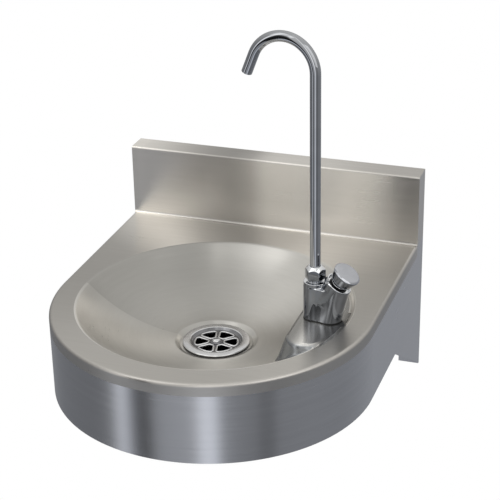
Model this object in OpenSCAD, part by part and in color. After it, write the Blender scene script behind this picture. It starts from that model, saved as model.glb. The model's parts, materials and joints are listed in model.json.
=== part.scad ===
// Wall-hung bottle filling station: a D-shaped basin, a grid waste, and a push-button tap with a swan neck.
// The origin lies on the wall, midway between the two holes of the hanger. +Y goes into the wall, +Z up.

/* [Basin] */
// Width over the side cheeks
basin_w = 312; // [292:2:340]
// Distance from the wall to the centre of the round front
side_d = 204; // [196:2:230]
// Depth of the apron at the front
apron_h = 80; // [60:1:100]
// Depth of the side cheeks at the wall
cheek_h = 150; // [125:1:180]
// Distance from the wall at which the cheeks start to slope down
cheek_run = 112; // [90:1:130]
// Thickness of the stainless sheet
sheet_t = 1.2; // [1:0.1:1.5]
// Outside radius of the folded edge round the deck
edge_r = 3; // [2:0.5:5]
// Depth of the turned-down edge of the deck
lip_h = 12; // [8:1:20]
// Width of the safety return under the apron
return_w = 10; // [6:1:14]
// Width of the fixing flanges at the back of the cheeks
flange_w = 22; // [20:1:30]

/* [Splashback] */
// Height of the splashback above the deck
splash_h = 75; // [72:1:120]
// Depth of the splashback from the wall
splash_d = 25; // [20:1:35]
// Outside radius of the splashback's folds
splash_r = 2; // [1.5:0.5:4]
// How far the splashback's front sheet reaches below the deck
splash_skirt = 14; // [8:1:20]
// Drop of the strip that hangs on the wall hanger
hook_drop = 14; // [10:1:18]

/* [Wall fixings] */
// Width of the hanger
hanger_w = 240; // [210:2:280]
// Thickness of the hanger
hanger_t = 2; // [1.5:0.5:3]
// Height of the hanger's holes above the deck
hanger_hole_h = 30; // [24:1:36]
// Distance between the hanger's holes
hanger_spacing = 180; // [140:2:200]
// Radius of all wall fixing holes
fixing_hole_r = 3.5; // [2.5:0.25:4]
// Depth of the lower fixing holes below the deck
lower_hole_depth = 118; // [80:1:120]
// Distance of the lower fixing holes from the outside of the cheeks
lower_hole_inset = 14; // [10:1:16]

/* [Bowl] */
// Width of the deck between the bowl's rim and the sides
rim_w = 21.5; // [19:0.5:28]
// Depth of the bowl to the waste recess
bowl_depth = 42; // [36:1:52]
// Distance of the bowl's centre behind the centre of the round front
bowl_shift = 3.5; // [0:0.5:6]
// Radius of the roll at the bowl's rim
rim_roll_r = 5; // [3:0.5:8]
// Slope of the bowl's floor towards the waste, in degrees
floor_slope = 4; // [2:0.5:6]
// Radius of the recess for the waste
recess_r = 40; // [37:0.5:46]
// Depth of the recess for the waste
recess_depth = 3; // [2:0.5:4]

/* [Tap landing] */
// Depth of the landing below the deck
landing_drop = 2.5; // [2:0.5:5]
// Width of the landing from the bowl's rim to its straight edge
landing_w = 52; // [48:1:58]
// Radius of the landing's round edge
landing_r = 92; // [84:1:110]
// Corner radius of the landing
landing_corner_r = 12; // [8:1:18]
// How far the landing's sides spread towards the floor
landing_batter = 10; // [4:1:16]
// Radius of the landing's upper edge
landing_edge_r = 4; // [2:0.5:6]
// Thickness of the stiffener under the landing
stiffener_t = 3; // [2:0.5:5]

/* [Waste] */
// Outside radius of the waste flange
waste_flange_r = 32.5; // [31:0.5:35]
// Radius of the dished middle of the flange
waste_dish_r = 25.5; // [24.5:0.5:27]
// Depth of the dished middle of the flange
waste_dish_depth = 2.5; // [2.2:0.1:3.5]
// Number of petal openings in the grid
petal_count = 6; // [5:1:8]
// Distance of the petal openings from the spigot's inside
petal_margin = 1; // [0.5:0.25:3]
// Width of the ribs between the petal openings
petal_rib_w = 4.2; // [3:0.2:6]
// Thickness of the waste grid
grid_t = 1.5; // [1:0.1:2]
// Radius of the tail's outside thread
tail_r = 20.955; // [18:0.005:22]
// Length of the tail's threaded stretch
tail_thread_h = 20; // [14:1:30]
// Wall of the waste body
waste_wall = 3; // [2:0.5:4]
// Radius of the centre screw's shank
waste_screw_r = 3; // [2.5:0.5:4]

/* [Tap body] */
// Distance of the tap hole from the bowl's rim
tap_inset = 28; // [26:0.5:30]
// Turn of the tap on the landing, in degrees
tap_turn = -8; // [-20:1:20]
// Radius of the tap's upright lobe and base
lobe_r = 11; // [10:0.5:12]
// Distance between the centres of the base's two lobes
lobe_gap = 15; // [13:0.5:17]
// Height of the upright lobe above the landing
body_h = 37.5; // [36:0.5:42]
// Thickness of the base gasket
gasket_t = 1.5; // [1:0.25:2.5]
// Radius of the inlet shank's thread
shank_r = 8.33; // [7:0.01:8.6]
// Length of the inlet shank below the landing
shank_drop = 48; // [40:1:60]

/* [Swan neck] */
// Outside radius of the swan-neck tube
tube_r = 5; // [4.5:0.25:5.25]
// Wall of the swan-neck tube
tube_wall = 1; // [0.75:0.25:1.25]
// Height of the bend's start above the landing
bend_start_h = 236; // [180:2:280]
// Radius of the bend at the tube's middle
bend_r = 31; // [25:1:45]
// Angle of the bend, in degrees
bend_angle = 158; // [120:1:180]
// Length of the straight end after the bend
outlet_l = 19.4; // [10:0.2:30]
// Width across the flats of the gland nut
gland_nut_w = 17; // [17:0.5:19]

/* [Push button] */
// Lean of the button's axis from upright, in degrees
button_lean = 33.5; // [30:0.5:36]
// Radius of the button's rim
button_r = 13.2; // [12.8:0.1:14]
// Height of the button's top along its axis, from the landing
button_top_s = 62; // [61:0.5:64]
// Height of the button's rim and bevel together
button_rim_h = 3; // [2:0.25:4]
// Height of the collar's top along the button's axis, from the landing
collar_s = 46.7; // [46:0.1:47.5]
// Outside radius of the collar
collar_r = 12.4; // [12.3:0.1:13]
// Travel of the button
button_travel = 4.5; // [2:0.25:5]

/* [Hidden] */
$fn = 64;
hull_fn = 32;

// Shared small sizes
over = 1;
skin = 0.01;
play = 0.05;
seat_gap = 0.3;
seal_play = 0.01;
arc_steps = 24;
edge_steps = 6;

// Basin, derived
half_w = basin_w / 2;
front_y = -side_d;
basin_d = side_d + half_w;
deck_z = -hanger_hole_h;
lower_hole_x = half_w - lower_hole_inset;

// Hanger
hanger_foot_h = 12;
hanger_step = sheet_t + seat_gap;
hanger_lip = 3;

// Bowl wall: one arc from the recess to the rim's roll. Its top angle comes from a few rounds of correction.
wall_rounds = 6;
bowl_r = half_w - rim_w;
bowl_back = side_d - bowl_shift;
function wall_rise(a) = bowl_depth - rim_roll_r * (1 - cos(a));
function wall_run(a) = bowl_r - rim_roll_r * sin(a) - recess_r;
function wall_angle(a, n) =
    n <= 0 ? a : wall_angle(2 * atan(wall_rise(a) / wall_run(a)) - floor_slope, n - 1);
wall_top_a = wall_angle(2 * atan(bowl_depth / (bowl_r - recess_r)), wall_rounds);
wall_r = wall_run(wall_top_a) / (sin(wall_top_a) - sin(floor_slope));
recess_step = 1;
seat_r = recess_r - recess_step - recess_depth;
seat_z = -bowl_depth - recess_depth;

// Landing
landing_overlap = 1;
landing_edge_x = bowl_r - landing_w;
landing_centre_x = bowl_r + landing_overlap - landing_r;
landing_steps = 3;
landing_depth = 40;
tap_x = bowl_r - tap_inset;
stiffener_l = 40;
stiffener_w = 30;

// Waste, heights below the deck
flange_seal_t = 1.5;
body_seal_t = 2;
seal_inset = 1;
flange_top_z = seat_z + flange_seal_t + grid_t;
grid_top_z = flange_top_z - waste_dish_depth;
spigot_wall = 1.2;
spigot_h = 6;
spigot_r = waste_dish_r - waste_dish_depth + spigot_wall;
waste_hole_r = spigot_r + seat_gap;
seal_bore_r = spigot_r + waste_dish_depth - grid_t + seat_gap;
petal_r = spigot_r - spigot_wall - petal_margin;
petal_inner_r = 8;
petal_round_r = 2.2;
petal_fn = 24;
petal_bead_w = 1;
petal_bead_h = 0.8;
grid_boss_r = 6;
grid_boss_h = 1;
grid_hole_r = waste_screw_r + play;
body_top_z = seat_z - sheet_t - body_seal_t;
body_flange_t = 4;
body_neck_h = 14;
body_cone_h = 8;
body_tail_gap = 4;
body_bore_r = waste_hole_r;
tail_bore_r = tail_r - waste_wall;
bridge_boss_r = 7;
bridge_rib_w = 3;
bridge_h = 10;
bridge_top_z = body_top_z - body_flange_t - bridge_h / 2;
insert_r = 4.5;
waste_head_r = 4.1;
waste_head_h = 2.2;
waste_slot_w = 1.2;
waste_slot_d = 1.2;
waste_screw_l = grid_top_z + grid_boss_h - bridge_top_z + bridge_h - over;

// Tap, heights above the landing
spout_x = -lobe_gap / 2;
barrel_x = lobe_gap / 2;
web_x = 12;
web_inset = 0.2;
web_r = lobe_r - web_inset;
web_h = 33.5;
barrel_foot_s = 22;
slab_t = 1;
gasket_lip = 0.3;
gland_wall = 1.6;
nipple_r = gland_nut_w / 2 - gland_wall;
nipple_h = 9.5;
nipple_top = body_h + nipple_h;
bush_wall = 0.5;
bush_r = tube_r + bush_wall;
socket_foot = 24;
socket_r = bush_r + play;
cross_rise = 2.5;
cross_h = socket_foot + cross_rise;
cross_r = 2.2;
cross_share = 2 / 3;
shank_top = 8;
shank_bore_r = 4.5;
shank_seal_t = 1;
rubber_t = 2.5;
steel_t = 1.5;
clamp_r = 14;
back_nut_w = 24;
back_nut_h = 8;
tap_hole_gap = 0.5;
tap_hole_r = shank_r + tap_hole_gap;
clamp_top = -sheet_t - stiffener_t;
nut_foot = clamp_top - rubber_t - steel_t - back_nut_h;
relief_gap = 0.8;
relief_h = 3;
relief_depth = 1;
relief_r = shank_r - relief_depth;
filter_wall = 0.4;
filter_h = 12;
filter_flange_t = 1;
filter_flange_r = 7;
filter_slots = 6;
filter_slot_w = 1.2;

// Gland, heights above the landing
bush_rise = 5.5;
bush_foot = socket_foot + bush_rise;
tube_rise = 4.5;
bush_tube_foot = bush_foot + tube_rise;
groove_h = 1.2;
groove_depth = 1.05;
groove_rise = 2;
groove_mid = bush_foot + groove_rise;
shoulder_r = nipple_r - seat_gap;
shoulder_t = 1.5;
shoulder_foot = nipple_top + play;
thrust_t = 0.75;
thrust_foot = shoulder_foot + shoulder_t + play;
gland_rise = 3;
gland_foot = body_h + gland_rise;
gland_ceiling = thrust_foot + thrust_t + play;
gland_hex_top = gland_ceiling;
gland_cone_h = 3.4;
gland_top_r = 6.3;
gland_hole_r = tube_r + play + seal_play;

// Valve, places along the button's axis, measured up from the landing
valve_shift = 1.5;
valve_foot_x = spout_x - valve_shift;
bevel_w = 1.6;
bevel_h = 1.4;
skirt_step = 0.5;
skirt_inset = 1.6;
skirt_lap = 0.4;
skirt_foot_r = collar_r - skirt_inset;
skirt_foot_s = collar_s + button_travel - skirt_lap;
mouth_gap = 0.5;
mouth_r = skirt_foot_r + mouth_gap;
mouth_depth = 2.3;
guide_top_s = collar_s - mouth_depth;
guide_r = 9;
guide_l = 13.5;
guide_foot_s = guide_top_s - guide_l;
guide_boss_r = 5.5;
guide_boss_h = 4;
spindle_r = 3.5;
guide_bore_r = spindle_r + play;
guide_groove_r = 5;
guide_groove_h = 1.6;
guide_groove_rise = 5;
guide_groove_s = guide_foot_s + guide_groove_rise;
chamber_r = 6.5;
seat_web_t = 2;
outlet_chamber_l = 7.9;
seat_top_s = guide_foot_s - outlet_chamber_l;
valve_seat_s = seat_top_s - seat_web_t;
seat_hole_r = 3.8;
neck_r = 2;
neck_drop = 0.9;
neck_top_s = guide_foot_s - neck_drop;
washer_r = 4.8;
washer_t = 2.4;
washer_nut_r = 3.2;
washer_nut_h = 2;
chamber_room = 4.1;
inlet_chamber_l = washer_t + washer_nut_h + button_travel + chamber_room;
neck_foot_s = valve_seat_s - play - washer_t - washer_nut_h;
cap_wall = 1.2;
cap_roof_t = 3.5;
cap_ceiling_s = button_top_s - cap_roof_t;
cap_boss_r = 5;
cap_boss_h = 3.5;
cap_crown_t = 2.5;
spindle_top_s = button_top_s - cap_crown_t;
spring_wire_r = 0.6;
spring_r = 7.2;
spring_turns = 5;
spring_steps = 12;
spring_sides = 6;
spring_foot_s = guide_top_s + spring_wire_r + play;
spring_top_s = cap_ceiling_s - spring_wire_r - play;

// Points on an arc about a centre, from angle a0 to a1
function arc_points(c, r, a0, a1, steps) =
    [for (i = [0 : steps]) let (a = a0 + (a1 - a0) * i / steps) c + r * [cos(a), sin(a)]];

// A flat ring
module ring(r_out, r_in, h) {
    difference() {
        cylinder(r = r_out, h = h);
        translate([0, 0, -over]) cylinder(r = r_in, h = h + 2 * over);
    }
}

// A seal ring of round section whose section touches r_in and r_out
module seal_ring(r_in, r_out) {
    rotate_extrude() translate([(r_in + r_out) / 2, 0]) circle(r = (r_out - r_in) / 2, $fn = hull_fn);
}

// The deck's frame: the wall at y = 0, the deck at z = 0
module on_deck() {
    translate([0, 0, deck_z]) children();
}

// The bowl's axis at deck level
module at_bowl() {
    on_deck() translate([0, -bowl_back, 0]) children();
}

// The tap hole at the landing's level, with +X from the spout to the button
module on_landing() {
    at_bowl() translate([tap_x, 0, -landing_drop]) rotate([0, 0, tap_turn]) children();
}

// A place on the button's axis, with +Z along the axis
module on_valve_axis(s) {
    on_landing() translate([valve_foot_x, 0, 0]) rotate([0, button_lean, 0]) translate([0, 0, s]) children();
}

// Section of the deck block from its middle outwards, with the folded edge at the top
module deck_section(w, h, r) {
    polygon(concat([[0, -h], [w, -h]], arc_points([w - r, -r], r, 0, 90, edge_steps), [[0, 0]]));
}

// The deck block: a half-round front and straight sides back to y = -back
module deck_block(w, h, r, back) {
    translate([0, front_y, 0]) rotate_extrude($fn = 4 * $fn) deck_section(w, h, r);
    translate([0, -back, 0]) rotate([90, 0, 0]) linear_extrude(height = -front_y - back)
        union() {
            deck_section(w, h, r);
            mirror([1, 0]) deck_section(w, h, r);
        }
}

// Plan of the basin, drawn in by a distance, back to the wall
module plan(inset) {
    translate([0, front_y]) circle(r = half_w - inset, $fn = 4 * $fn);
    translate([-half_w + inset, front_y]) square([basin_w - 2 * inset, -front_y]);
}

// Bowl surface at a distance below the pressed face, from the rim to the waste
function roll_points(d) =
    [for (i = [0 : edge_steps]) let (a = wall_top_a * i / edge_steps)
        [bowl_r, -rim_roll_r] + (rim_roll_r - d) * [-sin(a), cos(a)]];
wall_centre = [bowl_r, -rim_roll_r] + (rim_roll_r + wall_r) * [-sin(wall_top_a), cos(wall_top_a)];
function wall_points(d) =
    [for (i = [1 : arc_steps]) let (a = wall_top_a + (floor_slope - wall_top_a) * i / arc_steps)
        wall_centre + (wall_r + d) * [sin(a), -cos(a)]];
function recess_points(d) =
    [[recess_r - recess_step, -bowl_depth - d], [seat_r, seat_z - d], [0, seat_z - d]];

module bowl_form(d, top) {
    rotate_extrude($fn = 4 * $fn)
        polygon(concat([[0, top], [bowl_r, top]], roll_points(d), wall_points(d), recess_points(d)));
}

// Plan of the landing: a round edge out to the bowl's rim and a straight edge, with rounded corners
module landing_plan(grow) {
    offset(r = landing_corner_r + grow, $fn = hull_fn) offset(delta = -landing_corner_r)
        intersection() {
            translate([landing_centre_x, 0]) circle(r = landing_r);
            translate([landing_edge_x, -landing_r]) square([2 * landing_r, 2 * landing_r]);
        }
}

// The landing as a block with a rounded upper edge and spreading sides, drawn in by a distance
module landing_block(inset) {
    r = landing_edge_r;
    hull() {
        for (i = [0 : landing_steps])
            let (a = 90 * i / landing_steps)
                translate([0, 0, -landing_drop - inset - r * (1 - cos(a)) - skin])
                    linear_extrude(height = skin) landing_plan(-inset - r * (1 - sin(a)));
        translate([0, 0, -landing_drop - landing_depth])
            linear_extrude(height = skin) landing_plan(landing_batter - inset);
    }
}

// Deck, bowl and landing, pressed from one sheet
module basin_top() {
    color("#b9b7b2") difference() {
        union() {
            on_deck() difference() {
                deck_block(half_w, lip_h, edge_r, splash_d);
                translate([0, 0, -sheet_t])
                    deck_block(half_w - sheet_t, lip_h, edge_r - sheet_t, splash_d - over);
            }
            at_bowl() difference() {
                bowl_form(sheet_t, -sheet_t);
                translate([0, 0, seat_z - sheet_t - over]) cylinder(r = waste_hole_r, h = recess_depth + over);
            }
        }
        at_bowl() difference() {
            bowl_form(0, over);
            landing_block(0);
        }
        at_bowl() landing_block(sheet_t);
        on_landing() translate([0, 0, -sheet_t - over]) cylinder(r = tap_hole_r, h = sheet_t + 2 * over);
    }
}

// Side outline of the apron and cheeks, in y and z
module cheek_outline(grow) {
    polygon([[grow, 0], [-splash_d, 0], [-splash_d, -lip_h], [-basin_d - over, -lip_h],
             [-basin_d - over, -apron_h], [-cheek_run, -apron_h], [0, -cheek_h], [grow, -cheek_h]]);
}

// Skirt round the basin with cheeks back to the wall, fixing flanges and a safety return
module apron() {
    color("#9fa0a4") on_deck() difference() {
        union() {
            intersection() {
                translate([0, 0, -cheek_h]) linear_extrude(height = cheek_h)
                    difference() {
                        plan(0);
                        plan(sheet_t);
                        translate([-half_w + sheet_t, -splash_d]) square([basin_w - 2 * sheet_t, splash_d + over]);
                    }
                translate([-half_w - over, 0, 0]) rotate([90, 0, 90])
                    linear_extrude(height = basin_w + 2 * over) cheek_outline(0);
            }
            for (side = [0, 1])
                mirror([side, 0, 0]) translate([half_w - flange_w, -sheet_t, -cheek_h])
                    cube([flange_w - sheet_t / 2, sheet_t, cheek_h - splash_skirt]);
            translate([0, 0, -apron_h]) linear_extrude(height = sheet_t)
                intersection() {
                    difference() {
                        plan(sheet_t / 2);
                        plan(return_w);
                    }
                    translate([-half_w, -basin_d]) square([basin_w, basin_d - cheek_run]);
                }
        }
        for (side = [-1, 1])
            translate([side * lower_hole_x, over, -lower_hole_depth])
                rotate([90, 0, 0]) cylinder(r = fixing_hole_r, h = sheet_t + 2 * over);
    }
}

// Section of the splashback, in y and z
module splash_section(inset, foot) {
    r = splash_r - inset;
    polygon(concat([[0, -foot], [-splash_d + inset, -foot]],
                   arc_points([-splash_d + splash_r, splash_h - splash_r], r, 180, 90, edge_steps),
                   [[0, splash_h - inset]]));
}

// Upstand folded from one sheet: front, top, side returns and the strip that hangs on the hanger
module splashback() {
    color("#b5b0a9") on_deck() {
        rotate([90, 0, 90]) translate([0, 0, -half_w]) linear_extrude(height = basin_w)
            difference() {
                splash_section(0, 0);
                splash_section(sheet_t, over);
            }
        translate([-half_w + sheet_t, -splash_d, -splash_skirt])
            cube([basin_w - 2 * sheet_t, sheet_t, splash_skirt + sheet_t]);
        translate([-half_w + sheet_t, -sheet_t, splash_h - hook_drop])
            cube([basin_w - 2 * sheet_t, sheet_t, hook_drop - sheet_t]);
        for (x = [-half_w, half_w - sheet_t])
            translate([x, 0, 0]) rotate([90, 0, 90]) linear_extrude(height = sheet_t) splash_section(0, 0);
    }
}

// Hanger on the wall: a leg with two holes and an upstand stepped out behind the splashback's strip
module wall_hanger() {
    strip_z = splash_h - hook_drop - seat_gap;
    lip_top = splash_h - sheet_t - hanger_lip;
    color("#8f9194") difference() {
        on_deck() translate([-hanger_w / 2, 0, 0]) rotate([90, 0, 90]) linear_extrude(height = hanger_w)
            polygon([[0, hanger_foot_h], [0, strip_z - hanger_step], [-hanger_step, strip_z],
                     [-hanger_step, lip_top], [-hanger_step - hanger_t, lip_top],
                     [-hanger_step - hanger_t, strip_z - hanger_step], [-hanger_t, strip_z - 2 * hanger_step],
                     [-hanger_t, hanger_foot_h]]);
        for (side = [-1, 1])
            translate([side * hanger_spacing / 2, over, 0])
                rotate([90, 0, 0]) cylinder(r = fixing_hole_r, h = hanger_t + 2 * over);
    }
}

// Plate under the landing that carries the tap
module landing_stiffener() {
    color("#8f9194") on_landing() translate([0, 0, -sheet_t - stiffener_t]) difference() {
        for (x = [-1, 1])
            translate([x * (stiffener_l - stiffener_w) / 2, 0, 0]) cylinder(r = stiffener_w / 2, h = stiffener_t);
        translate([0, 0, -over]) cylinder(r = tap_hole_r, h = stiffener_t + 2 * over);
    }
}

// One petal of the grid, between two ribs, grown by a distance
module petal(grow) {
    half_a = 180 / petal_count;
    far = 2 * petal_r;
    offset(r = petal_round_r + grow, $fn = petal_fn) offset(delta = -petal_round_r)
        intersection() {
            difference() {
                circle(r = petal_r);
                circle(r = petal_inner_r);
            }
            polygon([[petal_rib_w / 2 / sin(half_a), 0],
                     [far * cos(half_a), far * sin(half_a) - petal_rib_w / 2],
                     [far * cos(half_a), -far * sin(half_a) + petal_rib_w / 2]]);
        }
}

// All petals of the grid, with ribs towards the wall and the front
module petals(grow) {
    for (i = [0 : petal_count - 1])
        rotate([0, 0, 90 + (i + 1 / 2) * 360 / petal_count]) petal(grow);
}

// Flange, dish, spigot and petal grid of the waste, pressed in one piece
module waste_grid() {
    spigot_in = spigot_r - spigot_wall;
    color("#c9cbce") at_bowl() difference() {
        union() {
            rotate_extrude()
                polygon([[0, grid_top_z], [spigot_in, grid_top_z],
                         [waste_dish_r, flange_top_z], [waste_flange_r - grid_t, flange_top_z],
                         [waste_flange_r, flange_top_z - grid_t / 2], [waste_flange_r, flange_top_z - grid_t],
                         [seal_bore_r - seat_gap, flange_top_z - grid_t], [spigot_r, grid_top_z],
                         [spigot_r, grid_top_z - spigot_h], [spigot_in, grid_top_z - spigot_h],
                         [spigot_in, grid_top_z - grid_t], [0, grid_top_z - grid_t]]);
            translate([0, 0, grid_top_z - skin]) linear_extrude(height = petal_bead_h + skin) petals(petal_bead_w);
            translate([0, 0, grid_top_z - skin]) cylinder(r = grid_boss_r, h = grid_boss_h + skin);
        }
        translate([0, 0, grid_top_z - grid_t - over]) linear_extrude(height = grid_t + 2 * over + petal_bead_h)
            petals(0);
        translate([0, 0, grid_top_z - grid_t - over])
            cylinder(r = grid_hole_r, h = grid_t + grid_boss_h + 2 * over);
    }
}

// Slotted screw that pulls the grid and the waste body together
module centre_screw() {
    head_z = grid_top_z + grid_boss_h;
    color("#d2d4d8") at_bowl() translate([0, 0, head_z]) difference() {
        union() {
            rotate_extrude()
                polygon([[0, 0], [waste_head_r, 0], [waste_head_r, waste_head_h / 2],
                         [waste_head_r * cos(30), waste_head_h], [0, waste_head_h]]);
            translate([0, 0, -waste_screw_l]) cylinder(r = waste_screw_r, h = waste_screw_l + skin);
        }
        translate([-waste_head_r - over, -waste_slot_w / 2, waste_head_h - waste_slot_d])
            cube([2 * (waste_head_r + over), waste_slot_w, waste_slot_d + over]);
    }
}

// Rubber ring between the flange and the bowl
module flange_seal() {
    color("#2b2b2b") at_bowl() translate([0, 0, seat_z])
        ring(waste_flange_r - seal_inset, seal_bore_r, flange_seal_t);
}

// Rubber ring between the bowl and the waste body
module body_seal() {
    color("#2b2b2b") at_bowl() translate([0, 0, body_top_z])
        ring(waste_flange_r - 2 * seal_inset, seal_bore_r, body_seal_t);
}

// Moulded waste body: flange, neck, cone, threaded tail, and a bridge that holds the insert
module waste_body() {
    neck_z = body_top_z - body_flange_t - body_neck_h;
    cone_z = neck_z - body_cone_h;
    tail_z = cone_z - body_tail_gap - tail_thread_h;
    flange_r = waste_flange_r - seal_inset;
    neck_r = body_bore_r + waste_wall;
    color("#e4e4e0") at_bowl() {
        rotate_extrude()
            polygon([[body_bore_r, body_top_z], [flange_r, body_top_z], [flange_r, body_top_z - body_flange_t],
                     [neck_r, body_top_z - body_flange_t], [neck_r, neck_z],
                     [tail_r, cone_z], [tail_r, tail_z], [tail_bore_r, tail_z],
                     [tail_bore_r, cone_z], [body_bore_r, neck_z]]);
        difference() {
            union() {
                translate([0, 0, bridge_top_z - bridge_h]) cylinder(r = bridge_boss_r, h = bridge_h);
                for (i = [0 : 2])
                    rotate([0, 0, 90 + i * 120]) translate([0, -bridge_rib_w / 2, bridge_top_z - bridge_h])
                        cube([body_bore_r + waste_wall / 2, bridge_rib_w, bridge_h]);
            }
            translate([0, 0, bridge_top_z - bridge_h - over]) cylinder(r = insert_r, h = bridge_h + 2 * over);
        }
    }
}

// Brass insert in the bridge, threaded for the centre screw
module screw_insert() {
    color("#c6a04d") at_bowl() translate([0, 0, bridge_top_z - bridge_h]) ring(insert_r, waste_screw_r, bridge_h);
}

// Plan of the tap's base
module base_plan(grow) {
    for (x = [spout_x, barrel_x])
        translate([x, 0]) circle(r = lobe_r + grow);
    translate([spout_x, -lobe_r - grow]) square([lobe_gap, 2 * (lobe_r + grow)]);
}

// Cast tap body: an upright lobe with a nipple, a leaning barrel, and a web between them
module tap_body() {
    color("#d5d8dd") difference() {
        union() {
            on_landing() {
                translate([spout_x, 0, gasket_t]) cylinder(r = lobe_r, h = body_h - gasket_t);
                translate([spout_x, 0, gasket_t]) cylinder(r = nipple_r, h = nipple_top - gasket_t);
                hull() {
                    translate([0, 0, gasket_t]) linear_extrude(height = slab_t) base_plan(-web_inset, $fn = hull_fn);
                    for (x = [spout_x, web_x])
                        translate([x, 0, web_h - slab_t]) cylinder(r = web_r, h = slab_t, $fn = hull_fn);
                }
            }
            on_valve_axis(barrel_foot_s)
                cylinder(r1 = web_r, r2 = collar_r - web_inset, h = guide_top_s - barrel_foot_s + web_inset);
            hull() {
                on_landing() translate([barrel_x, 0, gasket_t]) cylinder(r = lobe_r, h = slab_t);
                on_valve_axis(collar_s - mouth_depth) cylinder(r = collar_r, h = mouth_depth);
            }
        }
        on_landing() {
            translate([spout_x, 0, socket_foot]) cylinder(r = socket_r, h = nipple_top);
            translate([spout_x, 0, cross_h]) rotate([0, 90, 0]) cylinder(r = cross_r, h = cross_share * lobe_gap);
            translate([0, 0, -over]) cylinder(r = shank_r, h = shank_top + shank_seal_t + over);
        }
        on_valve_axis(guide_top_s) cylinder(r = mouth_r, h = mouth_depth + over);
        on_valve_axis(guide_foot_s) cylinder(r = guide_r, h = guide_l + over);
        on_valve_axis(seat_top_s) cylinder(r = chamber_r, h = guide_foot_s - seat_top_s + over);
        on_valve_axis(valve_seat_s - over) cylinder(r = seat_hole_r, h = seat_web_t + 2 * over);
        on_valve_axis(valve_seat_s - inlet_chamber_l) cylinder(r = chamber_r, h = inlet_chamber_l);
    }
}

// Gasket between the tap body and the landing
module base_gasket() {
    color("#262626") on_landing() difference() {
        linear_extrude(height = gasket_t) base_plan(gasket_lip);
        translate([0, 0, -over]) cylinder(r = shank_r, h = gasket_t + 2 * over);
    }
}

// Threaded shank that brings the water up through the landing, with a plain neck under the back nut
module inlet_shank() {
    color("#c2a35a") on_landing() difference() {
        translate([0, 0, -shank_drop]) ring(shank_r, shank_bore_r, shank_drop + shank_top);
        translate([0, 0, nut_foot - relief_gap - relief_h]) ring(shank_r + over, relief_r, relief_h);
    }
}

// Fibre seal between the shank and the body
module shank_seal() {
    color("#b5533c") on_landing() translate([0, 0, shank_top]) ring(shank_r, shank_bore_r + seal_inset, shank_seal_t);
}

// Strainer cup in the foot of the shank
module inlet_filter() {
    cup_r = shank_bore_r - play;
    color("#dddddd") on_landing() translate([0, 0, -shank_drop - filter_flange_t]) difference() {
        union() {
            cylinder(r = filter_flange_r, h = filter_flange_t);
            cylinder(r = cup_r, h = filter_h);
        }
        translate([0, 0, -over]) cylinder(r = cup_r - filter_wall, h = filter_h - filter_wall + over);
        for (i = [0 : filter_slots / 2 - 1])
            rotate([0, 0, i * 360 / filter_slots])
                translate([-shank_r, -filter_slot_w / 2, 2 * filter_flange_t])
                    cube([2 * shank_r, filter_slot_w, filter_h - 3 * filter_flange_t]);
    }
}

// Rubber washer, steel washer and back nut that clamp the tap to the landing
module clamp_washer_rubber() {
    color("#2b2b2b") on_landing() translate([0, 0, clamp_top - rubber_t]) ring(clamp_r, tap_hole_r, rubber_t);
}

module clamp_washer_steel() {
    color("#a9abae") on_landing() translate([0, 0, clamp_top - rubber_t - steel_t]) ring(clamp_r, tap_hole_r, steel_t);
}

// A hexagon across the flats, with its corners turned off at one or both ends
module hex_form(w, h) {
    corner_r = w / 2 / cos(30);
    intersection() {
        cylinder(r = corner_r, h = h, $fn = 6);
        rotate_extrude()
            polygon([[0, 0], [w / 2, 0], [corner_r, (corner_r - w / 2) * tan(30)],
                     [corner_r, h - (corner_r - w / 2) * tan(30)], [w / 2, h], [0, h]]);
    }
}

module back_nut() {
    color("#c2a35a") on_landing() translate([0, 0, nut_foot]) difference() {
        hex_form(back_nut_w, back_nut_h);
        translate([0, 0, -over]) cylinder(r = shank_r, h = back_nut_h + 2 * over);
    }
}

// Guide screwed into the barrel: it carries the spindle and the spring
module valve_guide() {
    color("#26262a") on_valve_axis(guide_foot_s) difference() {
        union() {
            cylinder(r = guide_r, h = guide_l);
            cylinder(r = guide_boss_r, h = guide_l + guide_boss_h);
        }
        translate([0, 0, -over]) cylinder(r = guide_bore_r, h = guide_l + guide_boss_h + 2 * over);
        translate([0, 0, guide_groove_s - guide_foot_s - guide_groove_h / 2])
            cylinder(r = guide_groove_r, h = guide_groove_h);
    }
}

// Seal ring between the guide and the spindle
module guide_seal() {
    color("#262626") on_valve_axis(guide_groove_s) seal_ring(guide_bore_r + seal_play, guide_groove_r);
}

// Point on the spring's wire: i counts the steps along the coil, j the sides round the wire
function spring_point(i, j) =
    let (a = 360 * i / spring_steps,
         b = 360 * j / spring_sides,
         rise = (spring_top_s - spring_foot_s) / (spring_turns * spring_steps),
         r = spring_r + spring_wire_r * cos(b))
    [r * cos(a), r * sin(a), i * rise + spring_wire_r * sin(b)];

// Coil spring between the guide and the button
module return_spring() {
    last = spring_turns * spring_steps;
    n = spring_sides;
    points = [for (i = [0 : last]) for (j = [0 : n - 1]) spring_point(i, j)];
    sides = [for (i = [0 : last - 1]) for (j = [0 : n - 1]) for (half = [0, 1])
        let (a = i * n + j, b = i * n + (j + 1) % n)
        half == 0 ? [a, b, b + n] : [a, b + n, a + n]];
    foot = [for (j = [1 : n - 2]) [0, j + 1, j]];
    head = [for (j = [1 : n - 2]) [last * n, last * n + j, last * n + j + 1]];
    color("#b9bcc0") on_valve_axis(spring_foot_s) polyhedron(points = points, faces = concat(sides, foot, head));
}

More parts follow.
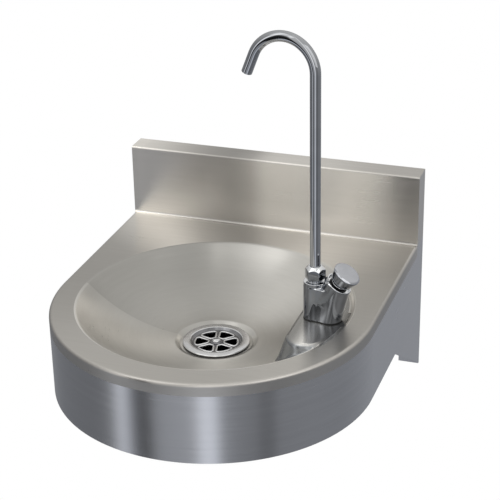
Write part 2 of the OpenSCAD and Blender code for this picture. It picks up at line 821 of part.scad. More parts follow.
// Hexagon nut that holds the spout's shoulder down
module gland_nut() {
    hex_h = gland_hex_top - gland_foot;
    corner_r = gland_nut_w / 2 / cos(30);
    top = hex_h + gland_cone_h;
    color("#d5d8dd") on_landing() translate([spout_x, 0, gland_foot]) difference() {
        intersection() {
            cylinder(r = corner_r, h = top, $fn = 6);
            rotate_extrude()
                polygon([[0, 0], [corner_r - slab_t, 0], [corner_r, slab_t / 2], [corner_r, hex_h - slab_t / 2],
                         [gland_top_r, top], [0, top]]);
        }
        translate([0, 0, -over]) cylinder(r = nipple_r, h = gland_ceiling - gland_foot + over);
        translate([0, 0, -over]) cylinder(r = gland_hole_r, h = top + 2 * over);
    }
}

// Slip washer between the spout's shoulder and the gland nut
module thrust_washer() {
    color("#f0efe8") on_landing() translate([spout_x, 0, thrust_foot]) ring(shoulder_r, gland_hole_r, thrust_t);
}

// Round push button with a bevelled rim and a tapered skirt
module button_cap() {
    rim_foot = button_top_s - button_rim_h;
    skirt_top_r = button_r - skirt_step;
    color("#dfe1e6") on_valve_axis(0) rotate_extrude()
        polygon([[0, button_top_s], [button_r - bevel_w, button_top_s], [button_r, button_top_s - bevel_h],
                 [button_r, rim_foot], [skirt_top_r, rim_foot], [skirt_foot_r, skirt_foot_s],
                 [skirt_foot_r - cap_wall, skirt_foot_s], [skirt_foot_r - cap_wall, cap_ceiling_s],
                 [cap_boss_r, cap_ceiling_s], [cap_boss_r, cap_ceiling_s - cap_boss_h],
                 [spindle_r, cap_ceiling_s - cap_boss_h], [spindle_r, spindle_top_s], [0, spindle_top_s]]);
}

// Spindle that carries the button and the valve washer
module valve_spindle() {
    color("#c6a04d") on_valve_axis(0) {
        translate([0, 0, neck_top_s]) cylinder(r = spindle_r, h = spindle_top_s - neck_top_s);
        translate([0, 0, neck_foot_s]) cylinder(r = neck_r, h = neck_top_s - neck_foot_s + skin);
    }
}

// Rubber washer that closes the valve seat from below
module valve_washer() {
    color("#262626") on_valve_axis(valve_seat_s - play - washer_t) ring(washer_r, neck_r, washer_t);
}

// Nut that holds the valve washer on the spindle
module washer_nut() {
    color("#c6a04d") on_valve_axis(neck_foot_s) ring(washer_nut_r, neck_r, washer_nut_h);
}

// Swan-neck tube: upright, bent over, with a short straight end
module swan_neck() {
    bore = tube_r - tube_wall;
    color("#d5d8dd") on_landing() {
        translate([spout_x, 0, bush_tube_foot]) ring(tube_r, bore, bend_start_h - bush_tube_foot);
        translate([spout_x - bend_r, 0, bend_start_h]) rotate([90, 0, 0]) {
            rotate_extrude(angle = bend_angle, $fn = 2 * $fn) translate([bend_r, 0]) difference() {
                circle(r = tube_r);
                circle(r = bore);
            }
            rotate([0, 0, bend_angle]) translate([bend_r, 0, 0]) rotate([-90, 0, 0]) ring(tube_r, bore, outlet_l);
        }
    }
}

// Bush brazed on the tube's foot, with a shoulder and a groove for the seal
module spout_bush() {
    color("#c6a04d") on_landing() translate([spout_x, 0, 0]) difference() {
        union() {
            translate([0, 0, bush_foot]) cylinder(r = bush_r, h = shoulder_foot - bush_foot);
            translate([0, 0, shoulder_foot]) cylinder(r = shoulder_r, h = shoulder_t);
        }
        translate([0, 0, bush_tube_foot]) cylinder(r = tube_r, h = nipple_top);
        translate([0, 0, bush_foot - over]) cylinder(r = tube_r - tube_wall, h = nipple_top);
        translate([0, 0, groove_mid - groove_h / 2]) ring(socket_r + over, bush_r - groove_depth, groove_h);
    }
}

// Seal ring between the bush and its socket
module spout_seal() {
    color("#262626") on_landing() translate([spout_x, 0, groove_mid]) seal_ring(bush_r - groove_depth, bush_r);
}

basin_top();
apron();
splashback();
wall_hanger();
landing_stiffener();
waste_grid();
centre_screw();
flange_seal();
body_seal();
waste_body();
screw_insert();
tap_body();
base_gasket();
inlet_shank();
shank_seal();
inlet_filter();
clamp_washer_rubber();
clamp_washer_steel();
back_nut();
valve_guide();
guide_seal();
return_spring();
gland_nut();
thrust_washer();
button_cap();
valve_spindle();
valve_washer();
washer_nut();
swan_neck();
spout_bush();
spout_seal();
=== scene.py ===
"""Wall-hung bottle filling station: pressed basin, angled apron, splashback, grid waste and swan-neck tap."""
import json
import math
import bpy
import numpy as np
from mathutils import Matrix, Vector


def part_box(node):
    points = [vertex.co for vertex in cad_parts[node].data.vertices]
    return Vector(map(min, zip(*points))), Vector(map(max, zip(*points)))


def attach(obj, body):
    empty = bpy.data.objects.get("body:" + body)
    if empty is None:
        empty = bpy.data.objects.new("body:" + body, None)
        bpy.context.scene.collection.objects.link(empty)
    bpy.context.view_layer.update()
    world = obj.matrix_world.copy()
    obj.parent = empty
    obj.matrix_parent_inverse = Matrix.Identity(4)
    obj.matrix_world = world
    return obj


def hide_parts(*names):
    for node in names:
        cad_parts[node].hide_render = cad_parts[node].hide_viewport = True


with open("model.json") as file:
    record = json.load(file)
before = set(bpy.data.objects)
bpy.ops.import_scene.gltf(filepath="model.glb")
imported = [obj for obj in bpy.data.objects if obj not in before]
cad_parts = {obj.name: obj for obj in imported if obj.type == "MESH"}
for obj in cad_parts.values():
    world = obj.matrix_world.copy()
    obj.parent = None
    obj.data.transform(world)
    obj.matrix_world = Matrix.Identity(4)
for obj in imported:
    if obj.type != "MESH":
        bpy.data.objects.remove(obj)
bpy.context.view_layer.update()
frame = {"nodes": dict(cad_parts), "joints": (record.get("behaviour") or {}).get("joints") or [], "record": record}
bpy.ops.object.select_all(action="DESELECT")

MM = 0.001


# Places read from the frame, in mm and radians

def mount_place(name):
    """Place of one of the part's mounts."""
    mount = next(mount for mount in frame["record"]["mounts"] if mount["name"] == name)
    return [round(value / MM, 3) for value in mount["pos_m"]]


top_low, top_high = (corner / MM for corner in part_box("basin_top"))
DECK_Z = round(top_high.z, 1)
HALF_W = round(top_high.x, 1)
BACK_Y = round(top_high.y, 1)
FRONT_Y = round(top_low.y, 1) + HALF_W
BOWL_Y = mount_place("waste_tail")[1]
BOWL_CENTRE = (0.0, BOWL_Y * MM, 0.0)
TAP_X = mount_place("water_inlet")[0]
PRESS_AXIS = Vector(next(joint["axis"] for joint in frame["joints"] if joint["name"] == "button_press"))
LEAN = math.radians(round(math.degrees(math.acos(-PRESS_AXIS.z)), 2))
TAP_TURN = math.radians(round(math.degrees(math.atan2(-PRESS_AXIS.y, -PRESS_AXIS.x)), 2))


# Node trees

class NodeTree:
    """A node tree with short ways to add, feed and join its nodes."""

    def __init__(self, tree):
        self.tree = tree
        self.nodes = tree.nodes

    def feed(self, socket, value):
        """Links a socket to another node's output, or gives it a plain value."""
        if isinstance(value, bpy.types.NodeSocket):
            self.tree.links.new(value, socket)
        else:
            socket.default_value = value

    def add(self, kind, inputs=None, **settings):
        """A node of a kind, with its settings, and with inputs by name or number."""
        node = self.nodes.new("ShaderNode" + kind)
        for setting, value in settings.items():
            setattr(node, setting, value)
        for socket, value in (inputs or {}).items():
            self.feed(node.inputs[socket], value)
        return node

    def calc(self, operation, *values):
        """A sum on numbers, each a link or a plain value."""
        return self.add("Math", dict(enumerate(values)), operation=operation).outputs["Value"]

    def vector_calc(self, operation, *values):
        """A sum on vectors, each a link or a plain value."""
        node = self.add("VectorMath", dict(enumerate(values)), operation=operation)
        return node.outputs["Value" if operation in ("LENGTH", "DOT_PRODUCT") else "Vector"]

    def parts(self, vector):
        """The X, Y and Z of a vector."""
        return self.add("SeparateXYZ", {"Vector": vector}).outputs

    def vector(self, x, y, z=0.0):
        return self.add("CombineXYZ", {"X": x, "Y": y, "Z": z}).outputs["Vector"]

    def spread(self, value, start, end, low=0.0, high=1.0):
        """Maps start to end onto low to high."""
        inputs = {"Value": value, "From Min": start, "From Max": end, "To Min": low, "To Max": high}
        return self.add("MapRange", inputs).outputs["Result"]

    def noise(self, vector, scale, detail, distortion=0.0):
        inputs = {"Vector": vector, "Scale": scale, "Detail": detail, "Distortion": distortion}
        return self.add("TexNoise", inputs).outputs["Fac"]

    def colours(self, value, stops, interpolation="LINEAR"):
        """A colour ramp through stops of a place and a colour."""
        node = self.add("ValToRGB", {"Fac": value})
        ramp = node.color_ramp
        ramp.interpolation = interpolation
        while len(ramp.elements) < len(stops):
            ramp.elements.new(0.5)
        for element, (place, colour) in zip(ramp.elements, stops):
            element.position = place
            element.color = (*colour, 1.0)
        return node.outputs["Color"]

    def greys(self, value, stops, top, interpolation):
        """A ramp of greys up to the top: a ramp stops at 1, so it holds shares of the top."""
        shares = [(place, (grey / top,) * 3) for place, grey in stops]
        return self.vector_calc("MULTIPLY", self.colours(value, shares, interpolation), (top, top, top))

    def mix(self, factor, a, b, blend="MIX"):
        """Two colours mixed by a factor."""
        inputs = {"Factor": factor, "A": a, "B": b}
        return self.add("Mix", inputs, data_type="RGBA", blend_type=blend).outputs["Result"]


# Shared material groups

def new_group(name, inputs, outputs):
    """A shader node group with named inputs (name, kind, default) and outputs (name, kind)."""
    group = bpy.data.node_groups.new(name, "ShaderNodeTree")
    for socket, kind, value in inputs:
        item = group.interface.new_socket(name=socket, in_out="INPUT", socket_type=kind)
        if value is not None:
            item.default_value = value
    for socket, kind in outputs:
        group.interface.new_socket(name=socket, in_out="OUTPUT", socket_type=kind)
    given = group.nodes.new("NodeGroupInput").outputs
    result = group.nodes.new("NodeGroupOutput").inputs
    return NodeTree(group), given, result


def brushing_group():
    """Brushing lines: noise stretched in a direction, at two widths, and unstretched clouds."""
    group, given, result = new_group(
        "Brushing",
        [("Vector", "NodeSocketVector", None), ("Stretch", "NodeSocketVector", (1.0, 60.0, 60.0)),
         ("Fine scale", "NodeSocketFloat", 40.0), ("Depth", "NodeSocketFloat", 0.5)],
        [("Lines", "NodeSocketFloat"), ("Clouds", "NodeSocketFloat")])
    stretched = group.vector_calc("MULTIPLY", given["Vector"], given["Stretch"])
    fine = group.noise(stretched, given["Fine scale"], 3.0)
    broad = group.noise(stretched, 6.0, 2.0)
    lines = group.add("Mix", {"Factor": given["Depth"], "A": broad, "B": fine})
    group.feed(result["Lines"], lines.outputs["Result"])
    group.feed(result["Clouds"], group.noise(given["Vector"], 14.0, 4.0))
    return group.tree


def wipe_marks_group():
    """Faint wipe marks and specks that break up a polished face."""
    group, given, result = new_group(
        "Wipe marks",
        [("Vector", "NodeSocketVector", None), ("Scale", "NodeSocketFloat", 60.0)],
        [("Marks", "NodeSocketFloat"), ("Specks", "NodeSocketFloat")])
    group.feed(result["Marks"], group.noise(given["Vector"], given["Scale"], 5.0, 0.6))
    group.feed(result["Specks"], group.noise(given["Vector"], 900.0, 2.0))
    return group.tree


BRUSHING = brushing_group()
WIPE_MARKS = wipe_marks_group()
FINE_LINES = 30.0
PAINTED_REFLECTION_TOP = 1.8
FADE_RADII, NEAR_STRENGTH = (0.055, 0.115), 0.3


# Finishes

class Finish(NodeTree):
    """One material: a Principled shader and the effects that feed it."""

    def __init__(self, name, metallic=1.0):
        self.material = bpy.data.materials.new(name)
        self.material.use_nodes = True
        super().__init__(self.material.node_tree)
        self.shader = self.nodes["Principled BSDF"]
        self.coords = self.add("TexCoord").outputs
        self.set("Metallic", metallic)

    def set(self, socket, value):
        """Feeds one of the shader's sockets."""
        self.feed(self.shader.inputs[socket], value)

    def group(self, tree, values, vector=None):
        """The outputs of a shared group, laid on Object coordinates where no other vector is given."""
        inputs = {"Vector": vector or self.coords["Object"], **values}
        return self.add("Group", inputs, node_tree=tree).outputs

    def mixed_in(self, factor, colour, blend="MIX"):
        """Mixes a colour into the base colour."""
        base = self.shader.inputs["Base Color"].links[0].from_socket
        self.set("Base Color", self.mix(factor, base, colour, blend))

    def away_from(self, centre):
        return self.vector_calc("SUBTRACT", self.coords["Object"], centre)

    def level_away_from(self, centre):
        return self.vector_calc("MULTIPLY", self.away_from(centre), (1.0, 1.0, 0.0))

    def upward(self):
        """How far the surface looks up."""
        return self.parts(self.coords["Normal"])["Z"]

    def painted_reflections_across(self, span, stops):
        """Painted reflections: broad soft light and dark bands along X, over a span in metres."""
        across = self.spread(self.parts(self.coords["Object"])["X"], *span)
        self.mixed_in(1.0, self.greys(across, stops, PAINTED_REFLECTION_TOP, "B_SPLINE"), "MULTIPLY")

    def painted_reflections_round(self, centre, stops):
        """Painted reflections: broad soft light and dark sectors round a centre, fainter near it."""
        away = self.away_from(centre)
        parts = self.parts(away)
        turn = self.spread(self.calc("ARCTAN2", parts["Y"], parts["X"]), -math.pi, math.pi)
        strength = self.spread(self.vector_calc("LENGTH", away), *FADE_RADII, NEAR_STRENGTH, 1.0)
        self.mixed_in(strength, self.greys(turn, stops, PAINTED_REFLECTION_TOP, "B_SPLINE"), "MULTIPLY")

    def painted_steep_shade(self, colour):
        """Painted shade: a darker colour where the surface faces less upward, on the sharply sloping sides."""
        self.mixed_in(self.spread(self.upward(), 0.6, 0.95, 1.0, 0.0), (*colour, 1.0))

    def inside(self, colour, centre):
        """Painted shade: a dark colour on faces that look up, or in towards the axis through the centre."""
        outward = self.vector_calc("DOT_PRODUCT", self.level_away_from(centre), self.coords["Normal"])
        inward = self.spread(outward, -0.004, -0.001, 1.0, 0.0)
        upward = self.spread(self.upward(), 0.4, 0.6)
        self.mixed_in(self.calc("MAXIMUM", inward, upward), (*colour, 1.0))

    def rim(self, colour):
        """Painted highlight: a brighter colour where the surface looks up or turns away from the eye."""
        weight = self.add("LayerWeight", {"Blend": 0.35})
        turned = self.spread(weight.outputs["Facing"], 0.5, 0.85)
        upward = self.spread(self.upward(), 0.3, 0.6)
        self.mixed_in(self.calc("MAXIMUM", turned, upward), (*colour, 1.0))

    def grain(self, tangent, amount=0.85):
        """Draws the reflections out along a tangent, as brushing does."""
        self.set("Anisotropic", amount)
        self.set("Tangent", tangent)


def round_brushing(finish, centre):
    """Coordinates in which straight brushing runs round a centre."""
    parts = finish.parts(finish.away_from(centre))
    radius = finish.vector_calc("LENGTH", finish.vector(parts["X"], parts["Y"]))
    angle = finish.calc("ARCTAN2", parts["Y"], parts["X"])
    return finish.vector(finish.calc("MULTIPLY", angle, 0.1), radius, parts["Z"])


def brushed(name, dark, light, rough, stretch, centre=None):
    """Brushed sheet steel: straight lines, or lines round a centre."""
    finish = Finish(name)
    vector = round_brushing(finish, centre) if centre else None
    lines = finish.group(BRUSHING, {"Stretch": stretch, "Fine scale": FINE_LINES}, vector)
    finish.set("Base Color", finish.colours(lines["Lines"], [(0.3, dark), (0.7, light)]))
    both = finish.calc("ADD", lines["Lines"], lines["Clouds"])
    finish.set("Roughness", finish.spread(both, 0.6, 1.4, *rough))
    return finish


def polished(name, dark, light, rough, marks=60.0, bump=0.0, metallic=1.0):
    """Polished or turned metal, or a hard smooth plastic, with faint wipe marks."""
    finish = Finish(name, metallic)
    wear = finish.group(WIPE_MARKS, {"Scale": marks})
    finish.set("Base Color", finish.colours(wear["Marks"], [(0.35, dark), (0.65, light)]))
    finish.set("Roughness", finish.spread(wear["Marks"], 0.35, 0.7, *rough))
    if bump:
        relief = finish.add("Bump", {"Height": wear["Specks"], "Distance": bump, "Strength": 1.0})
        finish.set("Normal", relief.outputs["Normal"])
    return finish


# Sheet steel: each with the stretch of its brushing lines, which run where it is smallest

ALONG_X, ALONG_Y, ROUND = (1.0, 50.0, 50.0), (50.0, 1.0, 50.0), (3.0, 40.0, 40.0)
ROUND_FRONT = (1.0, 1.0, 50.0)

deck_steel = brushed("Deck steel", (0.53, 0.51, 0.48), (0.57, 0.55, 0.52), (0.27, 0.31), ALONG_X)
deck_steel.grain(deck_steel.vector(0.0, 1.0))
# Painted reflections: light and dark bands on the deck, round the bowl.
deck_steel.painted_reflections_round(BOWL_CENTRE, [
    (0.0, 0.78), (0.06, 0.82), (0.13, 0.98), (0.2, 1.0), (0.3, 0.93), (0.38, 1.1), (0.45, 0.95), (0.5, 0.82),
    (0.6, 0.88), (0.64, 1.2), (0.68, 1.4), (0.72, 1.0), (0.77, 0.85), (0.82, 1.3), (0.85, 1.8), (0.88, 1.2),
    (0.91, 0.75), (1.0, 0.78)])

# The bowl's base colour is lighter than the deck's: painted light.
bowl_steel = brushed("Bowl steel", (0.59, 0.575, 0.545), (0.63, 0.615, 0.585), (0.27, 0.31), ROUND,
                     BOWL_CENTRE)
bowl_steel.grain(bowl_steel.vector_calc("NORMALIZE", bowl_steel.level_away_from(BOWL_CENTRE)), 0.75)
# Painted reflections: light and dark sectors in the bowl, round its centre.
bowl_steel.painted_reflections_round(BOWL_CENTRE, [
    (0.0, 0.7), (0.067, 1.45), (0.142, 1.3), (0.236, 0.9), (0.29, 1.75), (0.345, 1.8), (0.42, 1.2),
    (0.55, 0.95), (0.6, 1.0), (0.656, 1.2), (0.7, 1.1), (0.75, 0.8), (0.8, 0.68), (0.85, 0.6), (0.9, 0.67),
    (0.95, 0.66), (1.0, 0.7)])

landing_steel = brushed("Landing steel", (0.53, 0.52, 0.50), (0.57, 0.56, 0.54), (0.20, 0.24), ALONG_Y)
landing_steel.grain(landing_steel.vector(0.0, 1.0))
# Painted reflections: a bright streak and darker bands across the landing.
landing_steel.painted_reflections_across((0.08, 0.156), [
    (0.0, 0.8), (0.12, 0.5), (0.21, 0.9), (0.28, 1.75), (0.37, 1.75), (0.45, 0.8), (0.54, 0.45), (0.7, 0.6),
    (1.0, 0.9)])
# Painted shade on the landing's sloping sides.
landing_steel.painted_steep_shade((0.30, 0.31, 0.32))

splash_steel = brushed("Splashback steel", (0.53, 0.51, 0.48), (0.57, 0.55, 0.52), (0.24, 0.28), ALONG_X)
splash_steel.grain(splash_steel.vector(0.0, 0.25, 1.0))
# Painted reflections: light and dark bands across the splashback.
splash_steel.painted_reflections_across((-0.156, 0.156), [
    (0.0, 1.8), (0.05, 1.8), (0.19, 1.05), (0.335, 0.62), (0.425, 0.85), (0.48, 1.45), (0.55, 1.5),
    (0.71, 1.4), (0.84, 1.1), (0.96, 1.05), (1.0, 1.05)])

apron_steel = brushed("Apron steel", (0.52, 0.525, 0.545), (0.56, 0.565, 0.585), (0.24, 0.28), ROUND_FRONT)
apron_steel.grain(apron_steel.vector(0.15, 0.25, 1.0))

zinc_steel = polished("Zinc plate", (0.44, 0.45, 0.47), (0.60, 0.61, 0.63), (0.35, 0.55), 140.0, 0.00003)
bright_steel = polished("Polished steel", (0.66, 0.66, 0.67), (0.74, 0.74, 0.75), (0.10, 0.18), 70.0)
# Painted shade: a darker copy of the polished steel, for the grid's plate, boss and dish side down in the recess.
painted_shade_plate_steel = polished("Shaded polished steel", (0.20, 0.20, 0.21), (0.26, 0.26, 0.27), (0.12, 0.20), 70.0)
waste_steel = polished("Waste steel", (0.60, 0.60, 0.61), (0.68, 0.68, 0.69), (0.12, 0.20), 70.0)
# Painted shade inside the waste body.
waste_steel.inside((0.02, 0.02, 0.022), BOWL_CENTRE)
# Painted shade: near-black steel for the screw insert inside the waste.
painted_shade_steel = polished("Steel inside the waste", (0.02, 0.02, 0.022), (0.035, 0.035, 0.037), (0.4, 0.5),
                        70.0)


# Chrome, brass, rubber and plastics

# Copies of one chrome at different brightness. This dark one paints in dark reflections on the tap body, gland nut
# and button skirt.
painted_dark_chrome = polished("Cast chrome", (0.18, 0.19, 0.21), (0.22, 0.23, 0.25), (0.03, 0.07), 50.0)
# Painted highlight on the rims.
painted_dark_chrome.rim((0.85, 0.86, 0.88))
# Painted darker reflections: a dimmer chrome for the spout tube.
painted_dim_tube_chrome = polished("Tube chrome", (0.40, 0.41, 0.43), (0.44, 0.45, 0.47), (0.03, 0.06), 50.0)
# Painted light: a lighter chrome for the button's face than for its sides.
face_chrome_painted_lighter = polished("Button face chrome", (0.50, 0.51, 0.545), (0.54, 0.55, 0.585), (0.06, 0.10), 50.0)
chrome = polished("Chrome plate", (0.76, 0.77, 0.80), (0.81, 0.82, 0.85), (0.03, 0.07), 50.0)
brass = polished("Brass", (0.56, 0.40, 0.16), (0.68, 0.50, 0.23), (0.22, 0.40), 120.0, 0.00002)
rubber = polished("Black rubber", (0.012, 0.012, 0.013), (0.03, 0.03, 0.032), (0.55, 0.75), 180.0,
                  0.00003, 0.0)
fibre = polished("Red fibre", (0.28, 0.07, 0.04), (0.42, 0.12, 0.07), (0.7, 0.9), 200.0, 0.00004, 0.0)
white_plastic = polished("White plastic", (0.66, 0.66, 0.64), (0.74, 0.74, 0.72), (0.35, 0.5), 90.0,
                         0.00001, 0.0)
black_plastic = polished("Black plastic", (0.010, 0.010, 0.011), (0.022, 0.022, 0.024), (0.3, 0.45), 90.0,
                         0.00001, 0.0)


# Finishes of the solids that are carried over

SLOT_FINISH = {
    "satin_steel": deck_steel, "apron_steel": apron_steel, "zinc_steel": zinc_steel,
    "bright_steel": bright_steel, "chrome": chrome, "brass": brass, "rubber": rubber,
    "fibre": fibre, "white_plastic": white_plastic, "black_plastic": black_plastic,
}
OWN_FINISH = {
    "splashback": splash_steel, "swan_neck": painted_dim_tube_chrome,
    "waste_body": waste_steel, "screw_insert": painted_shade_steel,
}
for subpart in frame["record"]["subparts"]:
    node_name = subpart["node"]
    finish = OWN_FINISH.get(node_name, SLOT_FINISH[subpart["material_slot"]])
    for node_slot in frame["nodes"][node_name].material_slots:
        node_slot.material = finish.material


# Shaping helpers

def clear_selection():
    if bpy.context.object and bpy.context.object.mode != "OBJECT":
        bpy.ops.object.mode_set(mode="OBJECT")
    bpy.ops.object.select_all(action="DESELECT")


def choose(piece):
    """Selects one piece alone and makes it the active one."""
    clear_selection()
    piece.select_set(True)
    bpy.context.view_layer.objects.active = piece


def edit(piece, kind="VERT"):
    """Opens a piece for editing in vertex, edge or face mode."""
    choose(piece)
    bpy.ops.object.mode_set(mode="EDIT")
    bpy.ops.mesh.select_mode(type=kind)


def edit_all(piece):
    """Opens a piece with all of it selected."""
    edit(piece)
    bpy.ops.mesh.select_all(action="SELECT")


def close():
    bpy.ops.object.mode_set(mode="OBJECT")


def pick(piece, kind, test):
    """Opens a piece with only the vertices, edges or faces that pass the test selected."""
    edit(piece, kind)
    bpy.ops.mesh.select_all(action="DESELECT")
    close()
    mesh = piece.data
    for item in {"VERT": mesh.vertices, "EDGE": mesh.edges, "FACE": mesh.polygons}[kind]:
        item.select = test(item)
    bpy.ops.object.mode_set(mode="EDIT")


def outline_piece(name, points, closed=True):
    """A loop or chain of edges through the points, from a circle whose corners are moved onto them."""
    clear_selection()
    bpy.ops.mesh.primitive_circle_add(vertices=len(points), radius=0.01)
    piece = bpy.context.object
    piece.name = name
    for vertex, point in zip(piece.data.vertices, points):
        vertex.co = Vector(point) * MM
    if not closed:
        last = len(points) - 1
        pick(piece, "EDGE", lambda edge: set(edge.vertices) == {0, last})
        bpy.ops.mesh.delete(type="EDGE")
        close()
    return piece


def merge(piece, gap=0.002):
    """Closes seams and poles."""
    edit_all(piece)
    bpy.ops.mesh.remove_doubles(threshold=gap * MM)
    bpy.ops.mesh.dissolve_degenerate(threshold=0.001 * MM)
    close()


def face_out(piece):
    """Turns the faces outwards."""
    edit_all(piece)
    bpy.ops.mesh.normals_make_consistent(inside=False)
    close()


def lathe(name, section, steps=96, closed=True):
    """Turns a section of (radius, height) points round the Z axis."""
    piece = outline_piece(name, [(r, 0, z) for r, z in section], closed)
    edit_all(piece)
    bpy.ops.mesh.spin(steps=steps, angle=2 * math.pi, center=(0, 0, 0), axis=(0, 0, 1))
    close()
    merge(piece)
    face_out(piece)
    return piece


def bar(name, section, length):
    """Extrudes a section of (x, y) points along +Z."""
    piece = outline_piece(name, [(x, y, 0) for x, y in section])
    edit_all(piece)
    bpy.ops.mesh.edge_face_add()
    bpy.ops.mesh.extrude_region_move(TRANSFORM_OT_translate={"value": (0, 0, length * MM)})
    close()
    merge(piece)
    face_out(piece)
    return piece


def place(piece, matrix):
    """Moves the mesh itself, so the object stays at the origin."""
    choose(piece)
    piece.matrix_world = matrix
    bpy.ops.object.transform_apply(location=True, rotation=True, scale=True)


def shift(x, y, z):
    return Matrix.Translation(Vector((x, y, z)) * MM)


def turn(angle, axis="Z"):
    return Matrix.Rotation(angle, 4, axis)


def use(piece, kind, **settings):
    """Adds a modifier and applies it."""
    choose(piece)
    modifier = piece.modifiers.new(kind.title(), kind)
    for setting, value in settings.items():
        setattr(modifier, setting, value)
    bpy.ops.object.modifier_apply(modifier=modifier.name)


def cut(piece, tool, operation="DIFFERENCE"):
    """Cuts with a tool piece, or keeps what they share, and removes the tool."""
    use(piece, "BOOLEAN", object=tool, operation=operation, solver="EXACT")
    bpy.data.objects.remove(tool)


def join(first, *others):
    clear_selection()
    for piece in (first, *others):
        piece.select_set(True)
    bpy.context.view_layer.objects.active = first
    bpy.ops.object.join()


def copy_of(piece, name):
    twin = piece.copy()
    twin.data = piece.data.copy()
    twin.name = name
    bpy.context.scene.collection.objects.link(twin)
    return twin


def solid_copy(node, name):
    """A copy of one of the solids to shape further: merged, free of its body and without material."""
    piece = copy_of(frame["nodes"][node], name)
    piece.parent = None
    for key in list(piece.keys()):
        del piece[key]
    piece.data.materials.clear()
    merge(piece, 0.001)
    return piece


def smooth(piece, angle):
    """Smooth shading, with edges sharper than an angle in degrees left hard."""
    choose(piece)
    bpy.ops.object.shade_smooth_by_angle(angle=math.radians(angle))


def add_finishes(piece, *finishes):
    for finish in finishes:
        piece.data.materials.append(finish.material)


def dress(piece, body, slot, *nodes):
    """Attaches a finished piece to its body and hides the solids that it stands for. The slot is not used."""
    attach(piece, body)
    if nodes:
        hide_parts(*nodes)


# Places of the pieces: each stands in the frame of the bowl, the tap, the button or the spout

LANDING_DROP = 2.5
SPOUT_X, BUTTON_X = -7.5, -9.0
AT_BOWL = shift(0, BOWL_Y, DECK_Z)
AT_TAP = shift(TAP_X, BOWL_Y, DECK_Z - LANDING_DROP) @ turn(TAP_TURN)
AT_BUTTON = AT_TAP @ shift(BUTTON_X, 0, 0) @ turn(LEAN, "Y")
AT_SPOUT = AT_TAP @ shift(SPOUT_X, 0, 0)


# Pressed top: sizes in mm, from the bowl's centre at the height of the deck

BACK, FRONT = BACK_Y - BOWL_Y, FRONT_Y - BOWL_Y
BOWL_R, ROLL_R, BOWL_DEPTH = 134.5, 5.0, 42.0
RECESS_R, FLOOR_SLOPE = 40.0, math.radians(4.0)
RECESS_SECTION = [(24.5, -45.0), (34.0, -45.0), (35.2, -44.9), (36.1, -44.4), (38.5, -42.5), (39.4, -42.0),
                  (40.4, -41.9)]
WALL_START, WALL_STEP, WALL_POINTS, ROLL_POINTS = 42.0, 2.3, 37, 8
RING_R, RING_MARGIN = BOWL_R + 2.5, 0.1
SHEET, FOLD_R, FOLD_RING, EDGE_DROP = 1.2, 3.0, 1.0, 12.0
FINE_INSIDE, FINE_OUTSIDE, RIM_REACH = 7.0, 20.0, 0.4
LANDING_INNER_X, LANDING_ARC_X, LANDING_ARC_R, LANDING_CORNER_R = 82.5, 43.5, 92.0, 20.0
FRONT_END_SHORTER = 1.08
LANDING_SIDE = math.radians(71.0)
BEND_R, FRONT_BEND_MORE, FRONT_BEND_START, FRONT_BEND_LENGTH = 4.0, 1.5, 10.0, 50.0
TOP_BLEND, FOOT_BLEND, FOOT_DROP = 1.0, 9.0, 14.0


def wall_arc():
    """Top angle, radius and centre of the bowl wall's arc, as the solid has them."""
    top = 2 * math.atan(BOWL_DEPTH / (BOWL_R - RECESS_R))
    for _ in range(6):
        rise = BOWL_DEPTH - ROLL_R * (1 - math.cos(top))
        run = BOWL_R - ROLL_R * math.sin(top) - RECESS_R
        top = 2 * math.atan(rise / run) - FLOOR_SLOPE
    run = BOWL_R - ROLL_R * math.sin(top) - RECESS_R
    radius = run / (math.sin(top) - math.sin(FLOOR_SLOPE))
    centre = (BOWL_R - (ROLL_R + radius) * math.sin(top), -ROLL_R + (ROLL_R + radius) * math.cos(top))
    return top, radius, centre


WALL_TOP, WALL_R, WALL_CENTRE = wall_arc()
ROLL_START = BOWL_R - ROLL_R * math.sin(WALL_TOP)


def bowl_height(r):
    """Height of the bowl's surface at a radius, from the recess to the rim."""
    if r >= BOWL_R:
        return 0.0
    if r > ROLL_START:
        return -ROLL_R + math.sqrt(ROLL_R ** 2 - (BOWL_R - r) ** 2)
    return WALL_CENTRE[1] - math.sqrt(WALL_R ** 2 - (r - WALL_CENTRE[0]) ** 2)


def landing_distance(x, y):
    """Distance outside the landing's outline, below zero inside it: a D with rounded corners."""
    x, y = x - LANDING_ARC_X, abs(y) * (FRONT_END_SHORTER if y < 0 else 1.0)
    line, arc_r = LANDING_INNER_X + LANDING_CORNER_R - LANDING_ARC_X, LANDING_ARC_R - LANDING_CORNER_R
    corner_y = math.sqrt(arc_r ** 2 - line ** 2)
    if y > corner_y and math.atan2(y, x) > math.atan2(corner_y, line):
        return math.hypot(x - line, y - corner_y) - LANDING_CORNER_R
    if x < line and y <= corner_y:
        return line - x - LANDING_CORNER_R
    return max(line - x, math.hypot(x, y) - arc_r) - LANDING_CORNER_R


def soft_top(a, b, k):
    """The higher of two heights, blended over a height k."""
    mix = max(k - abs(a - b), 0.0) / k
    return max(a, b) + mix * mix * k / 4


def bend_radius(y):
    """Radius of the landing's edge, larger towards its front end."""
    forward = min(max((-y - FRONT_BEND_START) / FRONT_BEND_LENGTH, 0.0), 1.0)
    return BEND_R + FRONT_BEND_MORE * forward


def landing_fall(y, out):
    """How far the landing has bent down at a distance outside its flat top."""
    bend_r = bend_radius(y)
    bend_end = bend_r * math.sin(LANDING_SIDE)
    if out <= 0:
        return 0.0
    if out < bend_end:
        return bend_r - math.sqrt(bend_r ** 2 - out ** 2)
    return bend_r * (1 - math.cos(LANDING_SIDE)) + (out - bend_end) * math.tan(LANDING_SIDE)


